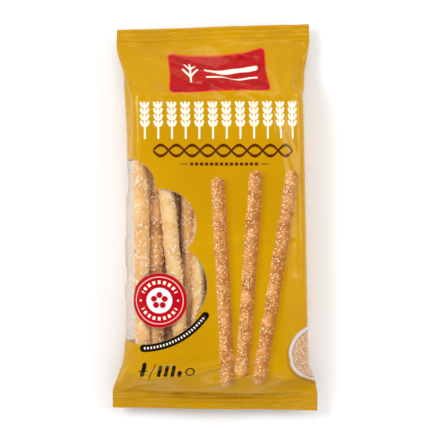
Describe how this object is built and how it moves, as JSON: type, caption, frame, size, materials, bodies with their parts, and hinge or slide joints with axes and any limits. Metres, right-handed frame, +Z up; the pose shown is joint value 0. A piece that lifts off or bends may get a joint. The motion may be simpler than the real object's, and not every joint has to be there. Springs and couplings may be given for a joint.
{
  "type": "sealed pillow pack of grissini breadsticks",
  "caption": "Filled pillow pack of sesame breadsticks lying on its back: printed film tube with two ribbed end seals, a back seam and a clear side window.",
  "frame": {"origin": "centre of the bounding box's bottom face, on the table that the pack lies on", "axes": "+Z up, out of the printed front; +Y along the pack, towards its head seal; +X across the pack, to the right as the front is seen with the head up"},
  "size_m": [0.148, 0.28, 0.0335],
  "materials": {
    "printed_film": "glossy printed plastic film in mustard yellow, with a clear window that shows golden sesame breadsticks"
  },
  "bodies": {
    "root": {"breadstick_pack": "printed_film"}
  },
  "joints": []
}
